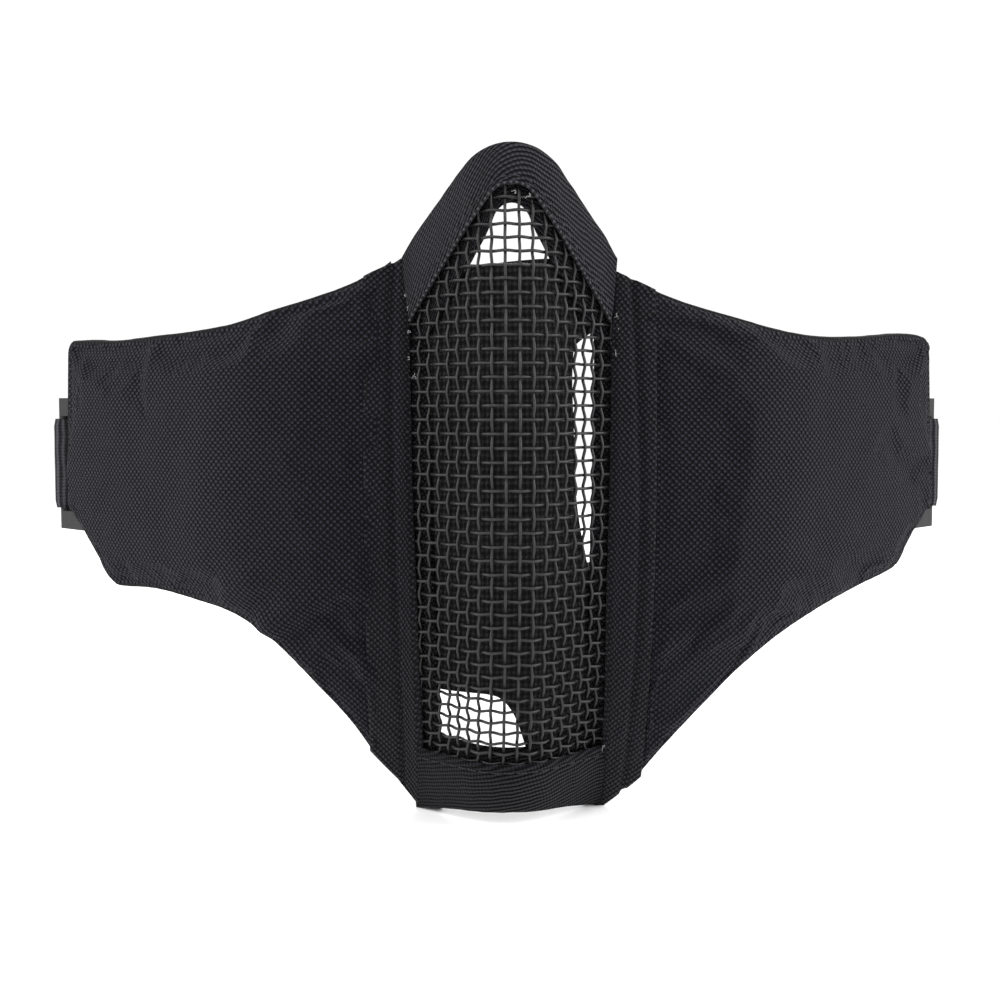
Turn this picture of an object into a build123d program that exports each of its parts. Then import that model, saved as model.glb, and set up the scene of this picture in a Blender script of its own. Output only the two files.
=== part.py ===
from build123d import *
from math import acos, asin, atan2, cos, degrees, hypot, radians, sin
import os

# Padded half face mask with a woven wire front. Millimetres.
# +X to the right seen from the front, -Y out of the front, +Z up. The origin is the middle of
# the face seat: level with the webbing, midway between the wings, at the depth of their ends.

# Overall form
wing_reach = 116.5          # centre line to the end of a wing, seen from the front
nose_height = 74.9          # webbing level up to the top of the nose
chin_drop = 82.5            # webbing level down to the chin edge on the centre line
corner_drop = 87.0          # webbing level down to the lowest corner of a hem
seat_depth = 72.0           # front of the ridge back to the ends of the wings

# Plan section, from the ridge round to the end of a wing: tangent arcs and flats
ridge_radius = 14.0
flank_angle = 45.0
flank_reach = 21.5          # where the straight flank ends
valley_radius = 6.0
seam_reach = 34.0           # seam between hem and wing
cheek_radius = 63.0
cheek_angle = 38.0
wing_radius = 363.0

# Lean of the surface above and below the webbing level
upper_lean_radius = 250.0
lower_lean_radius = 133.0

# Window and its bindings
window_reach = 22.8         # half width of the open mesh
window_drop = 69.0          # bottom of the open mesh
binding_top_width = 9.4     # nose binding, measured on the centre line
nose_outer_radius = 12.0
nose_inner_radius = 5.5
nose_outer_end = (25.2, 50.0)
nose_inner_end = (22.8, 35.0)
tape = 0.8                  # one thickness of binding tape or hem cloth
edge_cover = 4.6            # mesh hidden inside a binding or hem
mesh_corner_height = 38.0   # where the sloping top of the mesh meets its side
slot_side = 1.2             # closed side of a binding, beyond the slot

# Woven wire
wire_diameter = 0.7
wire_pitch = 3.175
wire_lift = 0.5             # each layer of wire stands this far off the middle surface
slot_half = 1.0             # half the slot inside a binding, which takes both layers

# Wing panels
cloth = 0.8
foam = 4.0
lining = 0.8
cloth_front = 1.2           # outer face of the wing cloth, above the middle surface
layer_gap = 0.1
edge_tape_width = 4.0
fold_gap = 1.0              # between the hem and the wing
end_top = 31.6              # top corner of a wing
end_bottom = -31.6          # bottom corner of a wing
end_top_radius = 5.0
end_bottom_radius = 25.0
least_corner_radius = 1.0   # of the layers inside the edge tape
# Edges between the hem and the end: share of the way out, and height
top_shoulder = (0.2, 38.1)
top_dip = (0.58, 32.2)
bottom_shoulder = (0.68, -33.2)
bottom_middle = (0.34, -45.5)
bottom_start = (0.1, -65.0)
edge_slope = 47.0           # steepness of both edges near the hem

# Liner behind the mesh, sewn to the back of the left hem
liner_thick = 1.5
liner_left = -31.0
liner_right = 20.0
liner_top = 47.3
liner_bottom = -54.0
liner_corner = 9.0

# Webbing, buckles and head strap
webbing_width = 25.0
webbing_thick = 1.5
bar_radius = 1.6
bar_fit = 0.1               # webbing loop round a buckle bar
side_fit = 0.8              # webbing to the side rail of a buckle
rail = 5.0                  # height of a side rail
bar_spacing = 8.0
inner_bar_out = 2.5         # inner bar, beyond the end of the wing
tab_length = 36.0
tail_length = 26.0
strap_side_radius = 60.0
strap_side_angle = 50.0
strap_sag = 53.5
strap_joint_gap = 0.3
strap_stations = 7          # cross sections from an end of the strap to its middle

span = 400.0                # longer than any piece, for cuts that pass right through
cut_margin = 10.0           # cutting shapes reach this far past what they cut
lean_turn = 60.0            # the lean arcs run past every outline


def rise(angle):
    return 1 - cos(radians(angle))


def run(angle):
    return sin(radians(angle))


# Corners of the plan section
ridge_end = (ridge_radius * run(flank_angle), ridge_radius * rise(flank_angle))
flank_slope = run(flank_angle) / cos(radians(flank_angle))
flank_end_depth = ridge_end[1] + (flank_reach - ridge_end[0]) * flank_slope
flank_length = hypot(flank_reach - ridge_end[0], flank_end_depth - ridge_end[1])
valley_reach = flank_reach + valley_radius * run(flank_angle)
valley_depth = flank_end_depth + valley_radius * rise(flank_angle)
cheek_reach = seam_reach + cheek_radius * run(cheek_angle)
cheek_depth = valley_depth + cheek_radius * rise(cheek_angle)
end_angle = degrees(asin(run(cheek_angle) + (wing_reach - cheek_reach) / wing_radius))
end_depth = cheek_depth + wing_radius * (rise(end_angle) - rise(cheek_angle))
end_point = Vector(wing_reach, end_depth - seat_depth, 0)
along_wing = Vector(cos(radians(end_angle)), sin(radians(end_angle)), 0)
off_back = Vector(-sin(radians(end_angle)), cos(radians(end_angle)), 0)


def front_trace(lift):
    # from the ridge to the seam, held off the middle surface by the lift
    ridge = JernArc((0, -seat_depth - lift), (1, 0), ridge_radius + lift, flank_angle)
    flank = PolarLine(ridge @ 1, flank_length, flank_angle)
    valley = JernArc(flank @ 1, flank % 1, valley_radius - lift, -flank_angle)
    return Line(valley @ 1, (valley @ 1) + Vector(seam_reach - valley_reach, 0))


def trace(lift, trim=0):
    # half of the whole plan section
    flat = front_trace(lift)
    cheek = JernArc(flat @ 1, (1, 0), cheek_radius + lift, cheek_angle)
    turn = end_angle - cheek_angle - degrees(trim / wing_radius)
    wing = JernArc(cheek @ 1, cheek % 1, wing_radius + lift, turn)
    return wing @ 1


def formed(outline, front, back, whole=False, trim=0):
    # a layer between two lifts, carried up and down along the lean, then cut to its outline
    with BuildPart() as layer:
        for way, radius in ((1, upper_lean_radius), (-1, lower_lean_radius)):
            with BuildSketch(Plane.XY) as band:
                with BuildLine():
                    outer_end = trace(front, trim)
                    inner_end = trace(back, trim)
                    Line(outer_end, inner_end)
                    if whole:
                        mirror(about=Plane.YZ)
                    else:
                        Line((0, -seat_depth - front), (0, -seat_depth - back))
                make_face()
            with BuildLine(Plane.YZ) as lean:
                JernArc((0, 0), (0, way), radius, -way * lean_turn)
            sweep(sections=band.sketch, path=lean.line, normal=(0, 0, 1))
        extrude(outline, amount=span, both=True, mode=Mode.INTERSECT)
    return layer.part


def crown_turn(top, radius, end):
    # how far round its crown an arch goes before its straight side leaves it tangentially
    middle = top - radius
    reach = hypot(end[0], end[1] - middle)
    return atan2(end[0], end[1] - middle) - acos(radius / reach)


def arch(top, radius, end):
    # half an arch: a round crown, then a straight side
    middle = top - radius
    turn = crown_turn(top, radius, end)
    touch = (radius * sin(turn), middle + radius * cos(turn))
    shoulder = (radius * sin(turn / 2), middle + radius * cos(turn / 2))
    ThreePointArc((0, top), shoulder, touch)
    Line(touch, end)


def side_outline(low, high, inset=0):
    # hem and wing together, between two reaches; the end of the wing is cut elsewhere
    wing_span = wing_reach - seam_reach
    past_end = wing_reach + edge_tape_width + cut_margin
    steep_inset = inset / cos(radians(edge_slope))
    with BuildSketch(Plane.XZ) as side:
        with BuildLine():
            top = Spline(
                (nose_outer_end[0], nose_outer_end[1] - steep_inset),
                (seam_reach + top_shoulder[0] * wing_span, top_shoulder[1] - inset),
                (seam_reach + top_dip[0] * wing_span, top_dip[1] - inset),
                (past_end, end_top - inset),
            )
            bottom = Spline(
                (past_end, end_bottom + inset),
                (seam_reach + bottom_shoulder[0] * wing_span, bottom_shoulder[1] + inset),
                (seam_reach + bottom_middle[0] * wing_span, bottom_middle[1] + steep_inset),
                (seam_reach + bottom_start[0] * wing_span, bottom_start[1] + steep_inset),
                (window_reach, -corner_drop + steep_inset),
            )
            Line(top @ 1, bottom @ 0)
            Line(bottom @ 1, nose_inner_end)
            Line(nose_inner_end, top @ 0)
        make_face()
        with Locations(((low + inset + high) / 2, 0)):
            Rectangle(high - low - inset, span, mode=Mode.INTERSECT)
    return side.sketch


def corner_cuts(inset=0):
    # rounds the two end corners of a wing, square to its surface
    end_plane = Plane(origin=end_point, x_dir=along_wing, z_dir=-off_back)
    with BuildPart() as cuts:
        top_corner = (end_top, end_top_radius, 1)
        bottom_corner = (end_bottom, end_bottom_radius, -1)
        for height, radius, up in (top_corner, bottom_corner):
            small = max(radius - inset, least_corner_radius)
            edge = height - up * inset
            block = small + cut_margin
            with BuildSketch(end_plane):
                with Locations((block / 2 - inset - small, edge + up * (block / 2 - small))):
                    Rectangle(block, block)
                with Locations((-inset - small, edge - up * small)):
                    Circle(small, mode=Mode.SUBTRACT)
            extrude(amount=2 * cut_margin, both=True)
    return cuts.part


# Sheet outlines, seen from the front
mesh_reach = window_reach + edge_cover
mesh_top = nose_height - edge_cover
mesh_bottom = -window_drop - edge_cover
mesh_crown = nose_outer_radius - edge_cover / 2
mesh_corner = (mesh_reach, mesh_corner_height)
with BuildSketch(Plane.XZ) as mesh_outline:
    with BuildLine():
        arch(mesh_top, mesh_crown, mesh_corner)
        Line(mesh_corner, (mesh_reach, mesh_bottom))
        Line((mesh_reach, mesh_bottom), (0, mesh_bottom))
        mirror(about=Plane.YZ)
    make_face()

with BuildSketch(Plane.XZ) as nose_outline:
    with BuildLine():
        arch(nose_height, nose_outer_radius, nose_outer_end)
        arch(nose_height - binding_top_width, nose_inner_radius, nose_inner_end)
        Line(nose_outer_end, nose_inner_end)
        mirror(about=Plane.YZ)
    make_face()

with BuildSketch(Plane.XZ) as chin_outline:
    chin_reach = window_reach - layer_gap
    with BuildLine():
        Line((-chin_reach, -window_drop), (chin_reach, -window_drop))
        Line((chin_reach, -window_drop), (chin_reach, -corner_drop))
        ThreePointArc((chin_reach, -corner_drop), (0, -chin_drop), (-chin_reach, -corner_drop))
        Line((-chin_reach, -corner_drop), (-chin_reach, -window_drop))
    make_face()

with BuildSketch(Plane.XZ) as liner_outline:
    with Locations(((liner_left + liner_right) / 2, (liner_top + liner_bottom) / 2)):
        RectangleRounded(liner_right - liner_left, liner_top - liner_bottom, liner_corner)

# The slot ends inside the outer edge of a binding, so that the strip is closed round the mesh
slot_reach = mesh_reach + slot_side
slot_bottom = mesh_bottom - slot_side
with BuildSketch(Plane.XZ) as slot_outline:
    with BuildLine():
        arch(mesh_top + slot_side, mesh_crown, (slot_reach, mesh_corner[1]))
        Line((slot_reach, mesh_corner[1]), (slot_reach, slot_bottom))
        Line((slot_reach, slot_bottom), (0, slot_bottom))
        mirror(about=Plane.YZ)
    make_face()

# Woven wire front, in two layers: uprights outside, rows inside
ridge_run = ridge_radius * radians(flank_angle)
valley_run = valley_radius * radians(flank_angle)
half_run = ridge_run + flank_length + valley_run + mesh_reach - valley_reach
columns = int(half_run / wire_pitch + 0.5)
top_turn = asin(nose_height / upper_lean_radius)
bottom_turn = asin((window_drop + edge_cover) / lower_lean_radius)
rows_up = int(top_turn * upper_lean_radius / wire_pitch)
rows_down = int(bottom_turn * lower_lean_radius / wire_pitch)


def plan_place(distance):
    # plan position and heading at a distance round the middle surface from the ridge
    if distance < ridge_run:
        angle = degrees(distance / ridge_radius)
        return ridge_radius * run(angle), ridge_radius * rise(angle), angle
    if distance < ridge_run + flank_length:
        past = distance - ridge_run
        reach = ridge_end[0] + past * cos(radians(flank_angle))
        return reach, ridge_end[1] + past * run(flank_angle), flank_angle
    if distance < ridge_run + flank_length + valley_run:
        angle = flank_angle - degrees((distance - ridge_run - flank_length) / valley_radius)
        along = valley_radius * (run(flank_angle) - run(angle))
        down = valley_radius * (rise(flank_angle) - rise(angle))
        return flank_reach + along, flank_end_depth + down, angle
    return valley_reach + distance - ridge_run - flank_length - valley_run, valley_depth, 0


def mesh_height(reach):
    # top of the mesh at a reach from the centre line
    turn = crown_turn(mesh_top, mesh_crown, mesh_corner)
    touch = (mesh_crown * sin(turn), mesh_top - mesh_crown + mesh_crown * cos(turn))
    if reach < touch[0]:
        return mesh_top - mesh_crown + (mesh_crown**2 - reach**2) ** 0.5
    return touch[1] + (mesh_corner[1] - touch[1]) * (reach - touch[0]) / (mesh_corner[0] - touch[0])


lower_turn = degrees(asin(-mesh_bottom / lower_lean_radius))
with BuildPart() as mesh_vertical_wires:
    for column in range(columns):
        reach, depth, angle = plan_place((column + 0.5) * wire_pitch)
        reach = reach + wire_lift * run(angle)
        depth = depth - wire_lift * cos(radians(angle)) - seat_depth
        upper_turn = degrees(asin(mesh_height(reach) / upper_lean_radius))
        with BuildLine(Plane(origin=(reach, depth, 0), x_dir=(0, 1, 0), z_dir=(1, 0, 0))) as upright:
            JernArc((0, 0), (0, 1), upper_lean_radius, -upper_turn)
            JernArc((0, 0), (0, -1), lower_lean_radius, lower_turn)
        with BuildSketch(Plane(origin=upright.wire() @ 0, z_dir=upright.wire() % 0)) as wire_end:
            Circle(wire_diameter / 2)
        sweep(sections=wire_end.sketch, path=upright.wire())
    mirror(about=Plane.YZ)

with BuildPart() as mesh_horizontal_wires:
    for row in range(-rows_down, rows_up + 1):
        radius = upper_lean_radius if row > 0 else lower_lean_radius
        turn = (row * wire_pitch) / radius
        level = Plane(origin=(0, radius * (1 - cos(turn)), radius * sin(turn)))
        with BuildLine(level) as row_line:
            front_trace(-wire_lift)
            mirror(about=Plane.YZ)
        with BuildSketch(Plane(origin=row_line.line @ 0, z_dir=row_line.line % 0)) as wire_end:
            Circle(wire_diameter / 2)
        sweep(sections=wire_end.sketch, path=row_line.line)
    extrude(mesh_outline.sketch, amount=span, both=True, mode=Mode.INTERSECT)

# Bindings and hems: folded strips with a slot that takes the edge of the mesh
skin = slot_half + tape
nose_strip = formed(nose_outline.sketch, skin, -skin, whole=True)
chin_strip = formed(chin_outline.sketch, skin, -skin, whole=True)
mesh_slot = formed(slot_outline.sketch, slot_half, -slot_half, whole=True)
hem_strip = formed(side_outline(window_reach, seam_reach), skin, -skin)

with BuildPart() as nose_binding:
    add(nose_strip)
    add(mesh_slot, mode=Mode.SUBTRACT)

with BuildPart() as chin_binding:
    add(chin_strip)
    add(mesh_slot, mode=Mode.SUBTRACT)

with BuildPart() as right_hem:
    add(hem_strip)
    add(mesh_slot, mode=Mode.SUBTRACT)

with BuildPart() as left_hem:
    mirror(right_hem.part, about=Plane.YZ)

# Liner close behind the mesh
liner_front = -skin - layer_gap
with BuildPart() as inner_liner:
    add(formed(liner_outline.sketch, liner_front, liner_front - liner_thick, whole=True))

# Wing panels: cloth, foam with a tape round its edge, and lining
wing_low = seam_reach + fold_gap
wing_high = wing_reach + edge_tape_width + 10
foam_front = cloth_front - cloth - layer_gap
foam_back = foam_front - foam
lining_back = foam_back - layer_gap - lining
wing_shape = side_outline(wing_low, wing_high)
foam_shape = side_outline(wing_low, wing_high, edge_tape_width)
foam_cut = side_outline(wing_low, wing_high, edge_tape_width - layer_gap)
cloth_blank = formed(wing_shape, cloth_front, cloth_front - cloth)
foam_blank = formed(foam_shape, foam_front, foam_back, trim=edge_tape_width)
tape_blank = formed(wing_shape, foam_front, foam_back)
tape_cut = formed(foam_cut, foam_front + 1, foam_back - 1, trim=edge_tape_width - layer_gap)
lining_blank = formed(wing_shape, foam_back - layer_gap, lining_back)
end_cuts = corner_cuts()
foam_end_cuts = corner_cuts(edge_tape_width)
tape_end_cuts = corner_cuts(edge_tape_width - layer_gap)

with BuildPart() as tape_hole:
    add(tape_cut)
    add(tape_end_cuts, mode=Mode.SUBTRACT)

with BuildPart() as right_wing_cloth:
    add(cloth_blank)
    add(end_cuts, mode=Mode.SUBTRACT)

with BuildPart() as right_foam_pad:
    add(foam_blank)
    add(foam_end_cuts, mode=Mode.SUBTRACT)

with BuildPart() as right_edge_tape:
    add(tape_blank)
    add(end_cuts, mode=Mode.SUBTRACT)
    add(tape_hole.part, mode=Mode.SUBTRACT)

with BuildPart() as right_lining:
    add(lining_blank)
    add(end_cuts, mode=Mode.SUBTRACT)

with BuildPart() as left_wing_cloth:
    mirror(right_wing_cloth.part, about=Plane.YZ)

with BuildPart() as left_foam_pad:
    mirror(right_foam_pad.part, about=Plane.YZ)

with BuildPart() as left_edge_tape:
    mirror(right_edge_tape.part, about=Plane.YZ)

with BuildPart() as left_lining:
    mirror(right_lining.part, about=Plane.YZ)

# Webbing tab and buckle behind the end of each wing, drawn looking down on the wing's end
loop_radius = bar_radius + bar_fit + webbing_thick
tab_lean = lower_lean_radius * (1 - cos(asin(webbing_width / 2 / lower_lean_radius)))
tab_front = -lining_back + layer_gap + tab_lean
bar_back = tab_front + loop_radius
outer_bar = 2 * bar_spacing + inner_bar_out
end_level = Plane(origin=end_point, x_dir=along_wing, z_dir=(0, 0, 1))

with BuildPart() as right_tab:
    with BuildSketch(end_level):
        with Locations((0, wing_radius)):
            Circle(wing_radius - tab_front)
            Circle(wing_radius - tab_front - 2 * webbing_thick, mode=Mode.SUBTRACT)
        with Locations((inner_bar_out - tab_length / 2, tab_front + 2 * webbing_thick)):
            Rectangle(tab_length, 6 * webbing_thick, mode=Mode.INTERSECT)
        with Locations((inner_bar_out, bar_back)):
            Circle(loop_radius)
            Circle(bar_radius + bar_fit, mode=Mode.SUBTRACT)
    extrude(amount=webbing_width / 2, both=True)

with BuildPart() as right_buckle:
    bar_half = webbing_width / 2 + side_fit
    with BuildSketch(end_level):
        for bar in range(3):
            with Locations((bar * bar_spacing + inner_bar_out, bar_back)):
                Circle(bar_radius)
    extrude(amount=bar_half, both=True)
    for way in (1, -1):
        with BuildSketch(end_level.offset(way * (bar_half + rail / 2))):
            with Locations((bar_spacing + inner_bar_out, bar_back)):
                SlotCenterToCenter(2 * bar_spacing, 2 * bar_radius)
        extrude(amount=rail / 2, both=True)

with BuildPart() as left_tab:
    mirror(right_tab.part, about=Plane.YZ)

with BuildPart() as left_buckle:
    mirror(right_buckle.part, about=Plane.YZ)

# Head strap: an end looped round the outer bar, then the strap round the back of the head
bar_centre = end_point + along_wing * outer_bar + off_back * bar_back
strap_start = bar_centre + Vector(loop_radius - webbing_thick / 2, 0, 0)
tail_turn = degrees(tail_length / strap_side_radius)
strap_turn = degrees((tail_length + strap_joint_gap) / strap_side_radius)
side_across = strap_side_radius * rise(strap_side_angle)
back_radius = (strap_start.X - side_across) / cos(radians(strap_side_angle))

with BuildPart() as right_strap_end:
    with BuildSketch(Plane.XY):
        with Locations((bar_centre.X, bar_centre.Y)):
            Circle(loop_radius)
        with BuildLine():
            outer = JernArc(
                (strap_start.X + webbing_thick / 2, strap_start.Y),
                (0, 1),
                strap_side_radius + webbing_thick / 2,
                tail_turn,
            )
            inner = JernArc(
                (strap_start.X - 1.5 * webbing_thick, strap_start.Y),
                (0, 1),
                strap_side_radius - 1.5 * webbing_thick,
                tail_turn,
            )
            Line(outer @ 0, inner @ 0)
            Line(outer @ 1, inner @ 1)
        make_face()
        with Locations((bar_centre.X, bar_centre.Y)):
            Circle(bar_radius + bar_fit, mode=Mode.SUBTRACT)
    extrude(amount=webbing_width / 2, both=True)

with BuildPart() as left_strap_end:
    mirror(right_strap_end.part, about=Plane.YZ)


def strap_place(turn):
    # plan position of the strap when it has turned this far from straight back
    side = min(turn, strap_side_angle)
    x = strap_start.X - strap_side_radius * rise(side)
    y = strap_start.Y + strap_side_radius * run(side)
    if turn > strap_side_angle:
        x -= back_radius * (rise(turn) - rise(strap_side_angle))
        y += back_radius * (run(turn) - run(strap_side_angle))
    return x, y


with BuildPart() as head_strap:
    for station in range(-strap_stations + 1, strap_stations):
        share = 1 - abs(station) / (strap_stations - 1)
        turn = strap_turn + share * (90 - strap_turn)
        x, y = strap_place(turn)
        sag = strap_sag * rise(180 * share) / 2
        side = 1 if station < 0 else -1
        heading = (-run(turn), side * cos(radians(turn)), 0)
        with BuildSketch(Plane(origin=(side * x, y, -sag), x_dir=(0, 0, 1), z_dir=heading)):
            Rectangle(webbing_width, webbing_thick)
    loft()

os.makedirs("parts", exist_ok=True)
pieces = {
    "mesh_vertical_wires": mesh_vertical_wires,
    "mesh_horizontal_wires": mesh_horizontal_wires,
    "nose_binding": nose_binding,
    "chin_binding": chin_binding,
    "left_hem": left_hem,
    "right_hem": right_hem,
    "inner_liner": inner_liner,
    "left_wing_cloth": left_wing_cloth,
    "right_wing_cloth": right_wing_cloth,
    "left_foam_pad": left_foam_pad,
    "right_foam_pad": right_foam_pad,
    "left_edge_tape": left_edge_tape,
    "right_edge_tape": right_edge_tape,
    "left_lining": left_lining,
    "right_lining": right_lining,
    "left_tab": left_tab,
    "right_tab": right_tab,
    "left_buckle": left_buckle,
    "right_buckle": right_buckle,
    "left_strap_end": left_strap_end,
    "right_strap_end": right_strap_end,
    "head_strap": head_strap,
}
for name, piece in pieces.items():
    piece.part.label = name
    export_step(piece.part, f"parts/{name}.step")
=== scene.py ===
# Padded half face mask with a woven wire front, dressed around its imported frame
import bmesh
import bpy
import math
import random
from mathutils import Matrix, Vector, noise


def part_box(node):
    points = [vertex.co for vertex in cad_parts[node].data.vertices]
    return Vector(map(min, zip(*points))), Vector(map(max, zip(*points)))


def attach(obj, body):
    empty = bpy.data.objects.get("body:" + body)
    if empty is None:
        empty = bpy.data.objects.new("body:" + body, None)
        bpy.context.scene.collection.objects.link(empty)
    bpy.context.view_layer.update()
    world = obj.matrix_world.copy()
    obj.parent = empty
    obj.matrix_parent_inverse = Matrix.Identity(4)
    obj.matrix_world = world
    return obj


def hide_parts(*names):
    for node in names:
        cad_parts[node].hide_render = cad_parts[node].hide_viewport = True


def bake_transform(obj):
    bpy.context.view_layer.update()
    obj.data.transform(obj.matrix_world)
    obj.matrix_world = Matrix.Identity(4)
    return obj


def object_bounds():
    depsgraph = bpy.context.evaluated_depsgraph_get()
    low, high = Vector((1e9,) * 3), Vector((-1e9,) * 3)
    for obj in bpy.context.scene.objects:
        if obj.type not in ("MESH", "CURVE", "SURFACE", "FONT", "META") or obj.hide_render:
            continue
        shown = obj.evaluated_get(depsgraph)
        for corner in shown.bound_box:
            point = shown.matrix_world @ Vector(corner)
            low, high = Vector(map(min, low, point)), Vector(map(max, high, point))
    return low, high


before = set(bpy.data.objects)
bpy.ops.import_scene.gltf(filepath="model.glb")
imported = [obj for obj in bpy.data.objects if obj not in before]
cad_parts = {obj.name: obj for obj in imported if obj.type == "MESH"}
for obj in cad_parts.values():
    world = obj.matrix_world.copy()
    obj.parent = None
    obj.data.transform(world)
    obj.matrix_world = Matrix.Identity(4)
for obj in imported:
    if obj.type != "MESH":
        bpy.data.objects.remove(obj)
cadLow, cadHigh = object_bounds()
mm = 0.001
sideSign = {"right": 1, "left": -1}
random.seed(7)
print("frame loaded")

# the form that every piece is laid on, in mm
faceForm = {
    "ridgeRadius": 14.0,
    "flankAngle": math.radians(45),
    "flankReach": 21.5,
    "valleyRadius": 6.0,
    "seamReach": 34.0,
    "cheekRadius": 63.0,
    "cheekAngle": math.radians(38),
    "wingRadius": 363.0,
    "upperLean": 250.0,
    "lowerLean": 133.0,
    "wireStandOff": 0.85,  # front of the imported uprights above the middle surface
}


def boxMm(node):
    low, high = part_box(node)
    return low / mm, high / mm


ridgeFront = boxMm("mesh_vertical_wires")[0].y + faceForm["wireStandOff"]


def makePlan(form):
    # tangent arcs and flats from the ridge round to the wing: start, length, radius, angle, turn way
    parts = []
    x, d, angle, along = 0.0, 0.0, 0.0, 0.0
    ridgeRun = form["ridgeRadius"] * math.sin(form["flankAngle"])
    flankLength = (form["flankReach"] - ridgeRun) / math.cos(form["flankAngle"])
    valleyReach = form["flankReach"] + form["valleyRadius"] * math.sin(form["flankAngle"])
    steps = [
        (form["ridgeRadius"] * form["flankAngle"], form["ridgeRadius"], 1),
        (flankLength, None, 0),
        (form["valleyRadius"] * form["flankAngle"], form["valleyRadius"], -1),
        (form["seamReach"] - valleyReach, None, 0),
        (form["cheekRadius"] * form["cheekAngle"], form["cheekRadius"], 1),
        (90.0, form["wingRadius"], 1),
    ]
    for length, radius, way in steps:
        parts.append((along, x, d, angle, radius, way))
        if way:
            turned = angle + way * length / radius
            x += way * radius * (math.sin(turned) - math.sin(angle))
            d += way * radius * (math.cos(angle) - math.cos(turned))
            angle = turned
        else:
            x += length * math.cos(angle)
            d += length * math.sin(angle)
        along += length
    return parts


planParts = makePlan(faceForm)


def planAt(run):
    # plan place at a run round the surface from the ridge: reach, depth, heading
    start, x, d, angle, radius, way = [part for part in planParts if part[0] <= run][-1]
    past = run - start
    if not way:
        return x + past * math.cos(angle), d + past * math.sin(angle), angle
    turned = angle + way * past / radius
    return (
        x + way * radius * (math.sin(turned) - math.sin(angle)),
        d + way * radius * (math.cos(angle) - math.cos(turned)),
        turned,
    )


def runAt(reach):
    # the run whose reach from the centre line this is
    low, high = 0.0, 180.0
    for _ in range(40):
        middle = (low + high) / 2
        if planAt(middle)[0] < reach:
            low = middle
        else:
            high = middle
    return low


def leanRadius(z):
    return faceForm["upperLean"] if z > 0 else faceForm["lowerLean"]


def leanAt(z):
    # depth and slope of the lean at a height
    radius = leanRadius(z)
    rise = math.sqrt(radius * radius - z * z)
    return radius - rise, z / rise


def between(a, b, share):
    return tuple(p + (q - p) * share for p, q in zip(a, b))


def onFace(run, z, lift=0.0):
    # a point on the surface; a negative run is on the left, and lift stands it off to the front
    side = -1 if run < 0 else 1
    x, depth, angle = planAt(abs(run))
    lean, slope = leanAt(z)
    normal = Vector((side * math.sin(angle), -math.cos(angle), math.cos(angle) * slope)).normalized()
    return (Vector((side * x, ridgeFront + depth + lean, z)) + normal * lift) * mm


def faceNormal(run, z):
    return (onFace(run, z, 1.0) - onFace(run, z, 0.0)).normalized()


def heightAlong(points, x):
    # smooth height of an edge through a few points, at reach x
    if x <= points[0][0]:
        return points[0][1]
    for i in range(len(points) - 1):
        (x0, y0), (x1, y1) = points[i], points[i + 1]
        if x <= x1:
            before = points[i - 1] if i else points[i]
            after = points[i + 2] if i + 2 < len(points) else points[i + 1]
            m0 = (y1 - before[1]) / (x1 - before[0])
            m1 = (after[1] - y0) / (after[0] - x0)
            h = x1 - x0
            t = (x - x0) / h
            return (
                (2 * t**3 - 3 * t**2 + 1) * y0
                + (t**3 - 2 * t**2 + t) * h * m0
                + (3 * t**2 - 2 * t**3) * y1
                + (t**3 - t**2) * h * m1
            )
    return points[-1][1]


def soft(value):
    # 0 to 1 with eased ends
    t = min(1.0, max(0.0, value))
    return t * t * (3 - 2 * t)


def domed(value):
    # quarter round: 0 at an edge, 1 at full thickness
    t = min(1.0, max(0.0, value))
    return math.sqrt(max(0.0, 1 - (1 - t) ** 2))


def wobble(x, y, z=0.0):
    return noise.noise(Vector((x, y, z)))


def meshPiece(name, points, faces, laid, material):
    mesh = bpy.data.meshes.new(name)
    mesh.from_pydata([tuple(p) for p in points], [], faces)
    mesh.polygons.foreach_set("use_smooth", [True] * len(mesh.polygons))
    layout = mesh.attributes.new("laid", "FLOAT_VECTOR", "POINT")
    layout.data.foreach_set("vector", [c for p in laid for c in p])
    mesh.update()
    piece = bpy.data.objects.new(name, mesh)
    bpy.context.scene.collection.objects.link(piece)
    mesh.materials.append(material)
    return piece


def gridFaces(columns, rows, offset=0, wrapRows=False):
    # quads between neighbouring columns; wrapRows closes each column into a ring
    faces = []
    last = rows if wrapRows else rows - 1
    for i in range(columns - 1):
        for j in range(last):
            k = (j + 1) % rows
            a, b = offset + i * rows + j, offset + i * rows + k
            c, d = offset + (i + 1) * rows + k, offset + (i + 1) * rows + j
            faces.append((a, d, c, b))
    return faces


def addTube(points, faces, laid, path, radius, sides):
    # one round wire or thread along a path of points in metres
    start = len(points)
    across = None
    travelled = 0.0
    for i, place in enumerate(path):
        ahead = path[min(i + 1, len(path) - 1)] - path[max(i - 1, 0)]
        ahead.normalize()
        if across is None:
            across = ahead.orthogonal().normalized()
        across = (across - ahead * across.dot(ahead)).normalized()
        up = ahead.cross(across)
        if i:
            travelled += (place - path[i - 1]).length / mm
        for k in range(sides):
            turn = 2 * math.pi * k / sides
            points.append(place + (across * math.cos(turn) + up * math.sin(turn)) * radius * mm)
            laid.append((travelled, turn * radius, 0.0))
    faces.extend(gridFaces(len(path), sides, start, True))
    faces.append(tuple(start + k for k in range(sides)))
    faces.append(tuple(start + (len(path) - 1) * sides + k for k in reversed(range(sides))))


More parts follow.
